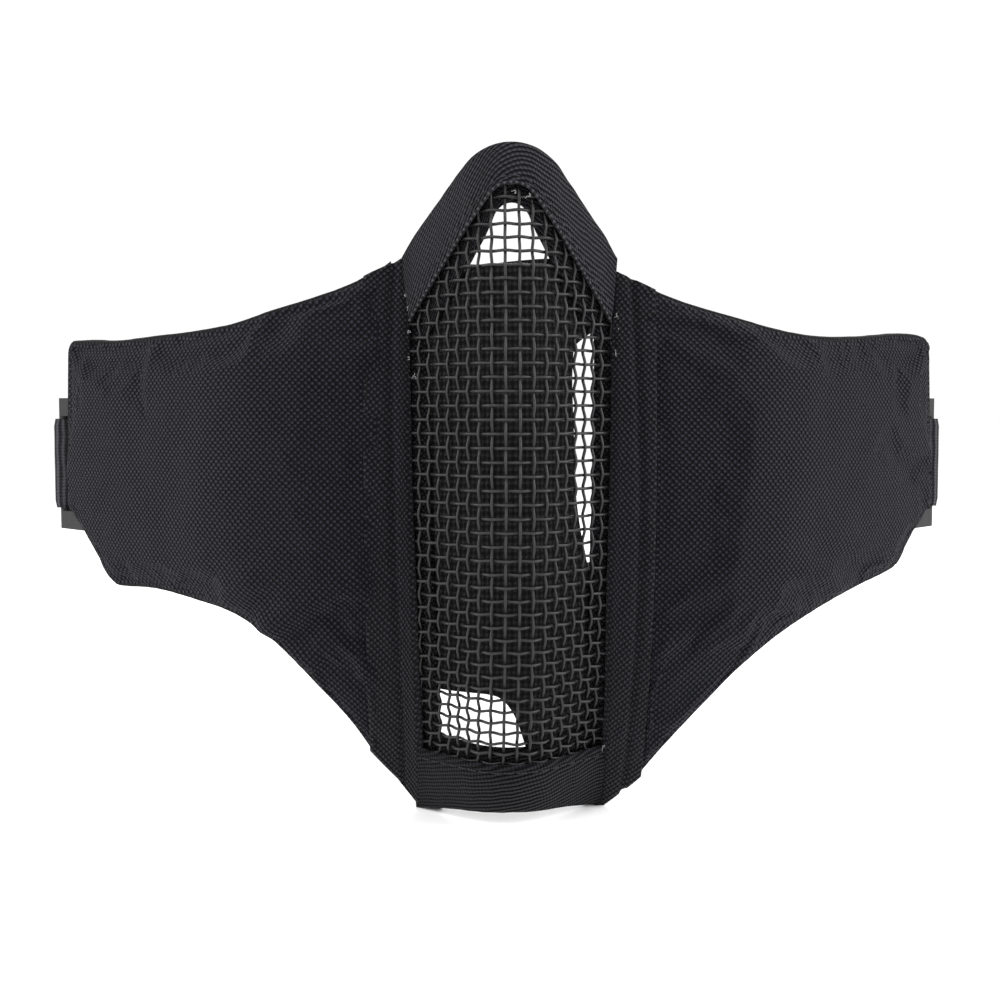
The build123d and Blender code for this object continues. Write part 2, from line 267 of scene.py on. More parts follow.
def faceOut(piece, ends=(), merge=0.0):
    # closes the named end rings, joins points that meet, and makes the faces point outwards
    shell = bmesh.new()
    shell.from_mesh(piece.data)
    if merge:
        bmesh.ops.remove_doubles(shell, verts=shell.verts, dist=merge)
    shell.verts.ensure_lookup_table()
    caps = [shell.faces.new([shell.verts[k] for k in ring]) for ring in ends]
    bmesh.ops.triangulate(shell, faces=caps)
    bmesh.ops.recalc_face_normals(shell, faces=shell.faces)
    shell.to_mesh(piece.data)
    shell.free()


def closeTube(piece, columns, size):
    # closes both ends of a piece made of rings
    last = (columns - 1) * size
    faceOut(piece, (range(size), range(last, last + size)))


def faceTowards(piece, way):
    # turns a sheet so that its faces look to the front (-1) or the back (1)
    total = sum(p.normal.y * p.area for p in piece.data.polygons)
    if total * way < 0:
        piece.data.flip_normals()


def thicken(piece, thickness):
    # gives a sheet its own thickness, behind its face
    solid = piece.modifiers.new("thickness", "SOLIDIFY")
    solid.thickness = thickness * mm
    solid.offset = -1
    graph = bpy.context.evaluated_depsgraph_get()
    made = bpy.data.meshes.new_from_object(piece.evaluated_get(graph))
    piece.modifiers.remove(solid)
    old = piece.data
    piece.data = made
    bpy.data.meshes.remove(old)
    made.name = piece.name


def place(piece, node, slotName, body, other=None, start=None, end=None):
    # the piece stands for its frame node, which it hides, and moves with one body; with a second body it is
    # only fixed where it lies
    if other:
        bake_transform(piece)
    else:
        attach(piece, body)
    if node:
        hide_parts(node)


def startFinish(name):
    material = bpy.data.materials.new(name)
    material.use_nodes = True
    return material, material.node_tree, material.node_tree.nodes["Principled BSDF"]


def plug(tree, socket, value):
    if isinstance(value, bpy.types.NodeSocket):
        tree.links.new(value, socket)
    else:
        socket.default_value = value


def calc(tree, kind, a, b=0.0, c=0.0, clamp=False):
    node = tree.nodes.new("ShaderNodeMath")
    node.operation = kind
    node.use_clamp = clamp
    for socket, value in zip(node.inputs, (a, b, c)):
        plug(tree, socket, value)
    return node.outputs[0]


def laidOut(tree, turn=0.0):
    # flat layout of the cloth in mm, turned by an angle
    layout = tree.nodes.new("ShaderNodeAttribute")
    layout.attribute_name = "laid"
    mapping = tree.nodes.new("ShaderNodeMapping")
    mapping.inputs["Rotation"].default_value = (0, 0, turn)
    tree.links.new(layout.outputs["Vector"], mapping.inputs["Vector"])
    return mapping.outputs["Vector"]


def solidPlace(tree):
    # place in the piece itself, in mm
    place = tree.nodes.new("ShaderNodeTexCoord")
    mapping = tree.nodes.new("ShaderNodeMapping")
    mapping.inputs["Scale"].default_value = (1000, 1000, 1000)
    tree.links.new(place.outputs["Object"], mapping.inputs["Vector"])
    return mapping.outputs["Vector"]


def grain(tree, vector, scale, detail=3.0, rough=0.6):
    node = tree.nodes.new("ShaderNodeTexNoise")
    node.inputs["Scale"].default_value = scale
    node.inputs["Detail"].default_value = detail
    node.inputs["Roughness"].default_value = rough
    if vector is not None:
        tree.links.new(vector, node.inputs["Vector"])
    return node.outputs["Fac"]


def mixColour(tree, share, dark, light):
    node = tree.nodes.new("ShaderNodeMix")
    node.data_type = "RGBA"
    plug(tree, node.inputs["Factor"], share)
    plug(tree, node.inputs[6], dark)
    plug(tree, node.inputs[7], light)
    return node.outputs[2]


def bumpFrom(tree, bsdf, height, distance, strength=1.0):
    node = tree.nodes.new("ShaderNodeBump")
    node.inputs["Strength"].default_value = strength
    node.inputs["Distance"].default_value = distance
    tree.links.new(height, node.inputs["Height"])
    tree.links.new(node.outputs["Normal"], bsdf.inputs["Normal"])


def grey(value, blue=1.0):
    return (value, value, value * blue, 1.0)


def threadWave(tree, coordinate, pitch, wander):
    # one set of threads: a wave across them, with a little wander
    shifted = calc(tree, "ADD", coordinate, wander)
    return calc(tree, "SINE", calc(tree, "MULTIPLY", shifted, 2 * math.pi / pitch))


def clothFinish(look):
    material, tree, bsdf = startFinish(look["name"])
    dark, light = grey(*look["dark"]), grey(*look["light"])
    vector = laidOut(tree, look.get("turn", 0.0))
    apart = tree.nodes.new("ShaderNodeSeparateXYZ")
    tree.links.new(vector, apart.inputs[0])
    drift = grain(tree, vector, 0.16, 2.0)
    wander = calc(tree, "MULTIPLY", calc(tree, "SUBTRACT", drift, 0.5), look.get("wander", 0.9))
    warp = threadWave(tree, apart.outputs[0], look["pitch"][0], wander)
    weft = threadWave(tree, apart.outputs[1], look["pitch"][1], wander)
    if look["weave"] == "plain":
        height = calc(tree, "MULTIPLY", warp, weft)
    elif look["weave"] == "ribbed":
        ribs = calc(tree, "MULTIPLY", warp, 0.75)
        height = calc(tree, "ADD", ribs, calc(tree, "MULTIPLY", weft, 0.25))
    else:
        height = calc(tree, "MULTIPLY", calc(tree, "ADD", warp, weft), 0.5)
    fibre = grain(tree, vector, look.get("fibre", 2.4), 5.0, 0.7)
    patch = grain(tree, vector, 0.045, 2.0)
    fleck = grain(tree, vector, 1.1, 2.0)
    lint = calc(tree, "GREATER_THAN", fleck, look.get("lint", 0.79))
    # painted light and shade on the weave: raised threads are painted lighter and the gaps between them
    # darker, mixed with the fibre's own tone
    thread = calc(tree, "MULTIPLY_ADD", height, 0.5, 0.5, clamp=True)
    thread = calc(tree, "POWER", thread, look.get("sharp", 1.6))
    weaveShadeAndFibre = calc(tree, "MULTIPLY_ADD", calc(tree, "SUBTRACT", fibre, 0.5), 0.9, thread, clamp=True)
    colour = mixColour(tree, weaveShadeAndFibre, dark, light)
    worn = calc(tree, "MULTIPLY", patch, look.get("fade", 0.1))
    colour = mixColour(tree, worn, colour, light)
    colour = mixColour(tree, calc(tree, "MULTIPLY", lint, 0.5), colour, grey(0.07, 1.05))
    tree.links.new(colour, bsdf.inputs["Base Color"])
    rough = calc(tree, "MULTIPLY_ADD", fibre, 0.25, look.get("rough", 0.62))
    tree.links.new(rough, bsdf.inputs["Roughness"])
    bsdf.inputs["Sheen Weight"].default_value = look.get("sheen", 0.04)
    bsdf.inputs["Sheen Roughness"].default_value = 0.45
    bsdf.inputs["Specular IOR Level"].default_value = look.get("shine", 0.09)
    relief = calc(tree, "MULTIPLY_ADD", fibre, 0.5, height)
    bumpFrom(tree, bsdf, relief, look.get("depth", 0.12) * mm)
    return material


def paintFinish(look):
    material, tree, bsdf = startFinish(look["name"])
    vector = solidPlace(tree) if look.get("bySolid") else laidOut(tree)
    wear = grain(tree, vector, 0.9, 4.0)
    chip = calc(tree, "GREATER_THAN", grain(tree, vector, 0.35, 5.0, 0.75), look["chip"])
    colour = mixColour(tree, wear, look["dark"], look["light"])
    colour = mixColour(tree, calc(tree, "MULTIPLY", chip, 0.55), colour, look["bare"])
    tree.links.new(colour, bsdf.inputs["Base Color"])
    tree.links.new(calc(tree, "MULTIPLY_ADD", wear, 0.3, look["rough"]), bsdf.inputs["Roughness"])
    bsdf.inputs["Specular IOR Level"].default_value = look.get("shine", 0.2)
    bumpFrom(tree, bsdf, grain(tree, vector, 2.2, 4.0), look.get("depth", 0.05) * mm)
    return material


# tones as (value, blue share): dark is the painted shade between the threads and light the painted light on
# their tops; thread pitch and relief depth in mm
clothLooks = {
    "wing": {"name": "wingNylon", "weave": "plain", "pitch": (1.5, 1.5), "dark": (0.0006, 1.25),
             "light": (0.029, 1.4), "depth": 0.3, "sharp": 3.4, "shine": 0.04},
    "hem": {"name": "hemNylon", "weave": "plain", "pitch": (1.5, 1.5), "dark": (0.0004, 1.1),
            "light": (0.030, 1.25), "depth": 0.3, "sharp": 3.2, "turn": math.radians(5), "shine": 0.05},
    "tape": {"name": "bindingTwill", "weave": "ribbed", "pitch": (0.98, 0.8), "turn": math.radians(-117),
             "dark": (0.0002, 1.1), "light": (0.042, 1.25), "depth": 0.42, "sharp": 3.2, "shine": 0.05},
    # the chin tape is the binding twill again with darker tones: painted shade that holds the
    # downward-facing tape dark against the floor's bounced light
    "chin": {"name": "chinTwill", "weave": "ribbed", "pitch": (1.05, 0.8), "turn": math.radians(-117),
             "dark": (0.0002, 1.1), "light": (0.017, 1.3), "depth": 0.36, "sharp": 2.8, "shine": 0.03},
    "edge": {"name": "edgeGrosgrain", "weave": "ribbed", "pitch": (1.0, 0.6), "dark": (0.002, 1.1),
             "light": (0.016, 1.15), "depth": 0.14},
    "lining": {"name": "liningKnit", "weave": "twill", "pitch": (1.1, 1.3), "turn": math.radians(20),
               "dark": (0.003, 1.08), "light": (0.04, 1.12), "depth": 0.3, "sheen": 0.1, "rough": 0.7,
               "sharp": 2.0},
    "liner": {"name": "linerNet", "weave": "plain", "pitch": (2.2, 2.2), "turn": math.radians(45),
              "dark": (0.0008, 1.0), "light": (0.020, 1.02), "depth": 0.35, "sharp": 2.0, "fade": 0.06,
              "sheen": 0.01, "lint": 0.86},
    "webbing": {"name": "elasticWebbing", "weave": "ribbed", "pitch": (1.4, 0.9), "dark": (0.0015, 1.12),
                "light": (0.05, 1.15), "depth": 0.25, "sharp": 1.9},
    "thread": {"name": "sewingThread", "weave": "ribbed", "pitch": (0.5, 0.6), "dark": (0.004, 1.1),
               "light": (0.045, 1.1), "depth": 0.06},
    "lint": {"name": "paleFibre", "weave": "ribbed", "pitch": (0.4, 0.5), "dark": (0.08, 1.0),
             "light": (0.3, 1.0), "depth": 0.04},
}
paintLooks = {
    "wire": {"name": "paintedWire", "dark": grey(0.0025, 1.0), "light": grey(0.008, 0.97),
             "bare": (0.05, 0.046, 0.042, 1), "chip": 0.68, "rough": 0.34, "shine": 0.36},
    "plastic": {"name": "buckleNylon", "dark": grey(0.003, 1.05), "light": grey(0.007, 1.05),
                "bare": grey(0.014), "chip": 0.72, "rough": 0.4, "shine": 0.25, "bySolid": True},
    "foam": {"name": "cellFoam", "dark": grey(0.006), "light": grey(0.02), "bare": grey(0.03),
             "chip": 0.6, "rough": 0.6, "depth": 0.2},
}
finishes = {key: clothFinish(look) for key, look in clothLooks.items()}
finishes.update({key: paintFinish(look) for key, look in paintLooks.items()})
print("finishes made")

viewer = {"place": (-12.7, -391.5, 14.5), "turn": -1.75, "pitch": 3.51, "lens": 51.84}

cameraData = bpy.data.cameras.new("viewer")
cameraData.lens = viewer["lens"]
cameraData.sensor_width = 36.0
cameraData.clip_start = 0.01
camera = bpy.data.objects.new("viewer", cameraData)
bpy.context.scene.collection.objects.link(camera)
camera.location = Vector(viewer["place"]) * mm
camera.rotation_euler = (math.radians(90 - viewer["pitch"]), 0, math.radians(viewer["turn"]))
bpy.context.scene.camera = camera

world = bpy.data.worlds.new("paleRoom")
bpy.context.scene.world = world
world.use_nodes = True
world.node_tree.nodes["Background"].inputs["Color"].default_value = (1, 1, 1, 1)
world.node_tree.nodes["Background"].inputs["Strength"].default_value = 1.04
bpy.context.scene.view_settings.view_transform = "Standard"


def softLight(name, place, size, power):
    data = bpy.data.lights.new(name, "AREA")
    data.size = size
    data.energy = power
    light = bpy.data.objects.new(name, data)
    bpy.context.scene.collection.objects.link(light)
    light.location = place
    light.rotation_euler = (Vector((0, 0, 0)) - Vector(place)).to_track_quat("-Z", "Y").to_euler()


# place in metres, size in metres, power
softLight("keyLight", (-0.25, -0.75, 0.8), 0.35, 6.0)
softLight("leftLight", (-0.95, -0.25, 0.35), 0.5, 7.0)
softLight("rightLight", (0.95, -0.3, 0.4), 0.5, 11.0)
softLight("backLight", (0.1, 0.9, 0.8), 0.7, 5.0)

floorPoints = [(-60, -60, 0), (60, -60, 0), (60, 60, 0), (-60, 60, 0)]
floorHeight = cadLow.z - 0.4 * mm
floorMaterial, floorTree, floorBsdf = startFinish("paleFloor")
floorTone = grain(floorTree, None, 3.0, 2.0)
floorTree.links.new(
    mixColour(floorTree, floorTone, grey(0.96), grey(0.98)), floorBsdf.inputs["Base Color"]
)
floorBsdf.inputs["Roughness"].default_value = 0.9
floor = meshPiece(
    "floor", [(x, y, floorHeight) for x, y, _ in floorPoints], [(0, 1, 2, 3)], floorPoints, floorMaterial
)

wireFront = {
    "diameter": 0.72,
    "pitch": 3.175,
    "crimp": 0.36,  # how far a wire swings each side of the middle surface
    "reach": 26.6,
    "bottom": -72.5,
    "crownTop": 70.3,
    "crownReach": 6.0,
    "crownDrop": 2.4,
    "corner": (26.6, 38.0),
    "wander": 0.12,
    "stepsPerCell": 6,
    "sides": 8,
}


def wireTop(reach):
    # top of the wire cloth at a reach, inside the nose binding
    crown, corner, drop = wireFront["crownReach"], wireFront["corner"], wireFront["crownDrop"]
    if reach < crown:
        return wireFront["crownTop"] - drop * (reach / crown) ** 2
    share = (reach - crown) / (corner[0] - crown)
    return (wireFront["crownTop"] - drop) * (1 - share) + corner[1] * share


def leanRun(z):
    # height to run along the lean, and back
    return leanRadius(z) * math.asin(z / leanRadius(z))


def leanHeight(run):
    return leanRadius(run) * math.sin(run / leanRadius(run))


def makeWires():
    pitch, steps = wireFront["pitch"], wireFront["stepsPerCell"]
    rowLow = int(leanRun(wireFront["bottom"]) / pitch)
    rowHigh = int(leanRun(wireFront["crownTop"]) / pitch)
    columnCount = int(runAt(wireFront["reach"]) / pitch + 0.5)
    points, faces, laid = [], [], []
    for column in range(-columnCount, columnCount):
        run = (column + 0.5) * pitch
        top = wireTop(planAt(abs(run))[0])
        path = []
        step = rowLow * steps
        while leanHeight(step * pitch / steps) < top:
            sway = math.cos(math.pi * (step / steps + column))
            drift = wireFront["wander"] * wobble(column * 3.1, step * 0.035, 4.0)
            z = leanHeight(step * pitch / steps)
            path.append(onFace(run + drift, z, wireFront["crimp"] * sway))
            step += 1
        addTube(points, faces, laid, path, wireFront["diameter"] / 2, wireFront["sides"])
    uprights = meshPiece("meshUprights", points, faces, laid, finishes["wire"])
    points, faces, laid = [], [], []
    for row in range(rowLow, rowHigh + 1):
        z = leanHeight(row * pitch)
        path = []
        limit = columnCount * pitch
        count = int(2 * limit / pitch * steps)
        for i in range(count + 1):
            run = -limit + i * pitch / steps
            if wireTop(planAt(abs(run))[0]) < z:
                continue
            sway = -math.cos(math.pi * (run / pitch - 0.5 + row))
            drift = wireFront["wander"] * wobble(run * 0.02, row * 2.7, 9.0)
            path.append(onFace(run, z + drift, wireFront["crimp"] * sway))
        if len(path) > 4:
            addTube(points, faces, laid, path, wireFront["diameter"] / 2, wireFront["sides"])
    rows = meshPiece("meshRows", points, faces, laid, finishes["wire"])
    place(uprights, "mesh_vertical_wires", "wire", "front")
    place(rows, "mesh_horizontal_wires", "wire", "front")


makeWires()
print("wire front woven")


tapeFold = {"foldSteps": 6, "underSteps": 4, "creaseWidth": 0.8, "unevenness": 0.22, "crown": 0.6,
            "shrunk": 0.75}


def foldedTape(name, columns, look, material, seamAway=None):
    # columns: (inner, outer) places as (run, height); the tape folds over the outer edge,
    # and its back leaf may reach further in than the front one
    leafSteps, foldSteps, underSteps = look["leafSteps"], tapeFold["foldSteps"], tapeFold["underSteps"]
    thick, gap = look["thick"], look["gap"]
    past = look["backPast"]
    front = [(i / leafSteps, 1.0, 1.0) for i in range(leafSteps + 1)]
    fold = []
    for i in range(1, foldSteps):
        turn = math.pi * i / foldSteps
        fold.append((1.0 + look["foldOut"] * math.sin(turn), math.cos(turn), 1.0))
    back = [(1 - (1 + past) * i / leafSteps, -1.0, 1.0) for i in range(leafSteps + 1)]
    under = [(-past + (1 + past) * i / underSteps, -1.0, 0.0) for i in range(underSteps + 1)]
    over = [(1 - i / underSteps, 1.0, 0.0) for i in range(underSteps + 1)]
    section = front + fold + back + under + over
    points, laid = [], []
    travelled = 0.0
    slant = look.get("slant", 0.0)
    for index, (inner, outer) in enumerate(columns):
        width = math.dist(inner, outer)
        stitchIn = seamAway[index] if seamAway else look["stitchIn"]
        if index:
            travelled += math.dist(columns[index - 1][1], outer) * tapeFold["shrunk"]
        for share, side, skin in section:
            run, z = between(inner, outer, share)
            lift = gap + (thick if skin else 0.0)
            if skin:
                lift += look["puff"] * math.sin(math.pi * min(1.0, max(0.0, share))) ** tapeFold["crown"]
                stitchAway = (share * width - stitchIn) / tapeFold["creaseWidth"]
                lift -= look["grooveDeep"] * math.exp(-stitchAway * stitchAway)
                lift += tapeFold["unevenness"] * wobble(index * 0.23, share * 2.2, 3.0 * side)
                if side > 0:
                    lift -= look["edgeDrop"] * (1 - domed(share * width / look["edgeRun"]))
            points.append(onFace(run, z, side * lift))
            flat = (travelled, share * width) if look.get("alongTape") else (run, z)
            turned = (
                flat[0] * math.cos(slant) - flat[1] * math.sin(slant),
                flat[0] * math.sin(slant) + flat[1] * math.cos(slant),
            )
            laid.append((turned[0], turned[1], side))
    piece = meshPiece(name, points, gridFaces(len(columns), len(section), 0, True), laid, material)
    closeTube(piece, len(columns), len(section))
    return piece


def archPoint(crownTop, radius, end, share):
    # along half an arch, from the crown (0) to its foot (1): a round crown, then a straight side
    middle = crownTop - radius
    away = math.hypot(end[0], end[1] - middle)
    turn = math.atan2(end[0], end[1] - middle) - math.acos(radius / away)
    crownRun = radius * turn
    touch = (radius * math.sin(turn), middle + radius * math.cos(turn))
    sideRun = math.dist(touch, end)
    along = share * (crownRun + sideRun)
    if along < crownRun:
        a = along / radius
        return radius * math.sin(a), middle + radius * math.cos(a)
    past = (along - crownRun) / sideRun
    return between(touch, end, past)


noseTape = {
    "outerTop": 74.9,
    "outerRadius": 12.0,
    "outerEnd": (25.2, 50.0),
    "innerTop": 65.5,
    "innerRadius": 5.5,
    "innerEnd": (22.8, 35.0),
    "columns": 90,
    "leafSteps": 12,
    "thick": 0.7,
    "gap": 1.05,
    "puff": 0.25,
    "stitchIn": 1.7,
    "grooveDeep": 0.32,
    "alongTape": True,
    "backPast": 0.36,
    "foldOut": 0.03,
    "edgeDrop": 0.35,
    "edgeRun": 0.8,
}


def faceRun(point):
    # a front view point as a run round the surface and a height
    return (math.copysign(runAt(abs(point[0])), point[0]), point[1])


def noseColumn(share):
    side = -1 if share < 0 else 1
    edges = []
    for edge in ("inner", "outer"):
        top, radius, end = (noseTape[edge + part] for part in ("Top", "Radius", "End"))
        x, z = archPoint(top, radius, end, abs(share))
        edges.append(faceRun((side * x, z)))
    return edges


def makeBinding(name, node, column, look, material):
    count = look["columns"]
    columns = [column(-1 + 2 * i / count) for i in range(count + 1)]
    place(foldedTape(name, columns, look, material), node, "binding_tape", "front")


makeBinding("noseBinding", "nose_binding", noseColumn, noseTape, finishes["tape"])

chinTape = {
    "top": -69.0,
    "bottomMiddle": -82.5,
    "bottomSide": -87.0,
    "topRise": 0.8,
    "leftReach": 22.4,
    "rightReach": 24.2,
    "columns": 60,
    "leafSteps": 15,
    "thick": 0.7,
    "gap": 0.9,
    "puff": 0.3,
    "stitchIn": 2.0,
    "grooveDeep": 0.32,
    "slant": math.radians(15),
    "backPast": 0.22,
    "foldOut": 0.02,
    "edgeDrop": 0.35,
    "edgeRun": 0.8,
}


def chinColumn(share):
    reach = share * chinTape["rightReach" if share > 0 else "leftReach"]
    middle = chinTape["bottomMiddle"]
    drop = middle + (chinTape["bottomSide"] - middle) * share * share
    return faceRun((reach, chinTape["top"] + chinTape["topRise"] * share * share)), faceRun((reach, drop))


# the chin tape takes the darker twill with its painted shade
makeBinding("chinBinding", "chin_binding", chinColumn, chinTape, finishes["chin"])
print("bindings folded")

# edges of hem and wing from the front: inner and seam as (height, reach), top and bottom as (reach, height)
sideEdge = {
    "right": {
        "inner": [(-88.0, 23.8), (-68.0, 23.6), (-30.0, 22.6), (-6.0, 22.9), (32.0, 23.6), (50.0, 24.2)],
        "seam": [(-88.0, 33.0), (-43.0, 32.2), (-6.0, 31.4), (41.0, 30.0), (48.0, 29.6)],
        "top": [(22.0, 50.6), (24.9, 49.0), (29.6, 45.8), (34.3, 42.7), (43.8, 39.2), (53.7, 36.7),
                (64.3, 34.2), (76.0, 32.9), (89.0, 33.3), (103.5, 34.8), (111.4, 35.0), (117.5, 34.0)],
        "bottom": [(22.0, -88.0), (28.5, -85.5), (33.1, -78.8), (37.5, -71.7), (46.6, -59.3),
                   (56.1, -49.2), (66.4, -41.1), (78.0, -35.3), (90.9, -30.7), (104.2, -27.0),
                   (105.6, -25.6), (112.5, -15.8), (117.5, -8.0)],
    },
    "left": {
        "inner": [(-88.0, 20.6), (-68.0, 20.6), (-30.0, 21.6), (-6.0, 22.4), (32.0, 23.2), (50.0, 24.0)],
        "seam": [(-88.0, 30.8), (-76.0, 30.6), (-43.0, 29.6), (-6.0, 28.6), (41.0, 28.4), (48.0, 28.0)],
        "top": [(22.0, 53.4), (27.0, 51.0), (31.5, 47.6), (36.3, 44.6), (45.7, 41.1), (55.4, 38.4),
                (65.4, 35.4), (76.3, 33.9), (88.0, 33.2), (100.7, 32.5), (107.5, 33.0), (117.5, 33.2)],
        "bottom": [(20.0, -86.4), (23.5, -86.2), (28.4, -79.2), (37.8, -62.6), (47.1, -51.0),
                   (56.6, -41.0), (66.7, -34.5), (77.7, -31.8), (89.5, -30.2), (101.6, -30.6),
                   (103.2, -29.4), (112.6, -16.2), (117.5, -9.0)],
    },
}

hemStrip = {
    "outer": 34.2,
    "columns": 130,
    "leafSteps": 16,
    "thick": 0.75,
    "gap": 1.2,
    "puff": 0.3,
    "grooveDeep": 0.9,
    "backPast": 0.3,
    "foldOut": 0.0,
    "edgeDrop": 1.5,
    "edgeRun": 2.0,
    "tuckedTop": 2.0,  # how far its top stays under the nose tape
    "seamInset": 0.6,
}


def makeHem(side):
    sign = sideSign[side]
    edges = sideEdge[side]
    outerTop = heightAlong(edges["top"], hemStrip["outer"])
    outerBottom = heightAlong(edges["bottom"], hemStrip["outer"])
    innerTop = heightAlong(edges["top"], heightAlong(edges["inner"], 50.0)) - hemStrip["tuckedTop"]
    innerBottom = heightAlong(edges["bottom"], heightAlong(edges["inner"], -88.0))
    columns, seamAway = [], []
    for i in range(hemStrip["columns"] + 1):
        share = i / hemStrip["columns"]
        z = innerBottom + (innerTop - innerBottom) * share
        inner = (sign * heightAlong(edges["inner"], z), z)
        outer = (sign * hemStrip["outer"], outerBottom + (outerTop - outerBottom) * share)
        columns.append((faceRun(inner), faceRun(outer)))
        seam = heightAlong(edges["seam"], z)
        seamAway.append(seam - heightAlong(edges["inner"], z) - hemStrip["seamInset"])
    piece = foldedTape(side + "Hem", columns, hemStrip, finishes["hem"], seamAway)
    place(piece, side + "_hem", "hem_cloth", "front")


for side in ("right", "left"):
    makeHem(side)
print("hems folded")

wingPad = {
    "endReach": 116.9,
    "seamReach": 31.0,
    "bendStart": 33.5,
    "bendEnd": 62.0,
    "clothThick": 0.6,
    "liningThick": 0.5,
    "topRadius": 3.0,
    "front": 1.75,  # lifts of the outer cloth and of the lining
    "back": -4.6,
    "edgeLift": -1.5,
    "edgeRound": 4.5,
    "columns": 150,
    "rows": 84,
    "rowSkip": 0.06,
    "endCrowd": 1.25,
    "liningColumns": 90,
    "liningRows": 60,
    "dents": 0.6,
    "wrinkle": 0.5,
    "heldRows": 3,
    "spare": 0.022,
    "simFrames": 16,
    "simCap": 1.3,
}

wingRunEnd = runAt(wingPad["endReach"])
wingRunStart = runAt(wingPad["seamReach"])


def wingSpanAt(side, run):
    # bottom and top of the wing at a run
    reach = planAt(run)[0]
    top = heightAlong(sideEdge[side]["top"], reach)
    bottom = heightAlong(sideEdge[side]["bottom"], reach)
    radius = wingPad["topRadius"]
    past = run - (wingRunEnd - radius)
    if past > 0:
        top -= radius - math.sqrt(max(0.0, radius * radius - past * past))
    return bottom, top


def seamRunAt(side, z):
    return runAt(heightAlong(sideEdge[side]["seam"], z))


def wrinkleLift(side, run, z, edge):
    # soft dents all over, small wrinkles near the lower edge, and one soft fold
    sign = 3.0 if side == "right" else 11.0
    lift = wingPad["dents"] * wobble(run * 0.035, z * 0.042, sign)
    lift += 0.35 * wobble(run * 0.09, z * 0.08, sign + 5)
    lower = soft((-z - 14) / 30)
    folds = wobble(run * 0.05 + z * 0.03, (z - run) * 0.16, sign + 8)
    lift += wingPad["wrinkle"] * lower * folds
    if side == "left":
        near = math.exp(-(((run - 66) / 16) ** 2) - ((z + 36) / 14) ** 2)
        lift += 0.9 * near * math.sin((z * 0.8 + run * 0.5) * 0.55)
    else:
        near = math.exp(-(((run - 92) / 15) ** 2) - ((z + 26) / 9) ** 2)
        lift += 1.0 * near * math.sin((z + run * 0.35) * 0.42)
    seam = math.exp(-(((run - wingRunStart) / 7.0) ** 2))
    lift += 0.4 * seam * wobble(run * 0.03, z * 0.24, sign + 2)
    return lift * edge


def wingPoint(side, along, share, front):
    # a place on the front or back face of a wing; along runs from the seam (0) to the end (1)
    run = wingRunStart + (wingRunEnd - wingRunStart) * along
    bottom, top = wingSpanAt(side, run)
    z = bottom + (top - bottom) * share
    seam = seamRunAt(side, z)
    run = seam + (wingRunEnd - seam) * along
    bottom, top = wingSpanAt(side, run)
    z = bottom + (top - bottom) * share
    edgeRound = wingPad["edgeRound"]
    away = domed((top - z) / edgeRound) * domed((z - bottom) / edgeRound)
    away *= domed((wingRunEnd - run) / edgeRound)
    full = wingPad["front"] if front else wingPad["back"]
    lift = wingPad["edgeLift"] + (full - wingPad["edgeLift"]) * away
    past = run - seam
    if front:
        lift += 1.2 * away * soft((past - 0.5) / 7.0) * (1 - 0.5 * soft((past - 20) / 60))
        lift += wrinkleLift(side, run, z, away)
        lift -= 1.6 * math.exp(-((past / 1.6) ** 2))
    else:
        lift += 2.6 * math.exp(-((past / 5.0) ** 2)) * away
        lift += 0.5 * away * wobble(run * 0.05, z * 0.05, 21.0)
    sign = sideSign[side]
    return onFace(sign * run, z, lift), (sign * run, z, 1.0 if front else -1.0)


def spread(count, crowd):
    # shares from 0 to 1, closer together near 1
    return [1 - (1 - i / count) ** crowd if crowd > 1 else i / count for i in range(count + 1)]


def wingSheet(side, name, alongs, shares, front, material):
    places = [wingPoint(side, along, share, front) for along in alongs for share in shares]
    points, laid = zip(*places)
    faces = gridFaces(len(alongs), len(shares))
    piece = meshPiece(side + name, points, faces, laid, material)
    faceTowards(piece, -1 if front else 1)
    return piece


def makeWingCloth(side):
    # rows crowd towards the top and the bottom, columns towards the end
    rows, skip = wingPad["rows"], wingPad["rowSkip"]
    shares = []
    for j in range(rows + 1):
        turn = math.pi * (skip + (1 - 2 * skip) * j / rows)
        shares.append(0.5 - 0.5 * math.cos(turn) / math.cos(math.pi * skip))
    alongs = spread(wingPad["columns"], wingPad["endCrowd"])
    return wingSheet(side, "WingCloth", alongs, shares, True, finishes["wing"])


def relaxCloth(piece, held, frames, cap, growth):
    # a little spare cloth settles into natural ripples, held at its edges
    rest = [v.co.copy() for v in piece.data.vertices]
    group = piece.vertex_groups.new(name="held")
    group.add(held, 1.0, "REPLACE")
    cloth = piece.modifiers.new("cloth", "CLOTH")
    cloth.settings.vertex_group_mass = "held"
    cloth.settings.quality = 6
    cloth.settings.mass = 0.25
    cloth.settings.tension_stiffness = 12
    cloth.settings.compression_stiffness = 12
    cloth.settings.bending_stiffness = 0.9
    cloth.settings.shrink_min = -growth
    cloth.settings.effector_weights.gravity = 0
    cloth.collision_settings.use_collision = False
    cloth.point_cache.frame_start = 1
    cloth.point_cache.frame_end = frames
    for step in range(1, frames + 1):
        bpy.context.scene.frame_set(step)
    graph = bpy.context.evaluated_depsgraph_get()
    settled = [v.co.copy() for v in piece.evaluated_get(graph).data.vertices]
    piece.modifiers.remove(cloth)
    piece.vertex_groups.remove(group)
    bpy.context.scene.frame_set(1)
    for vertex, before, after in zip(piece.data.vertices, rest, settled):
        moved = after - before
        if moved.length > cap * mm:
            moved *= cap * mm / moved.length
        vertex.co = before + moved
    piece.data.update()


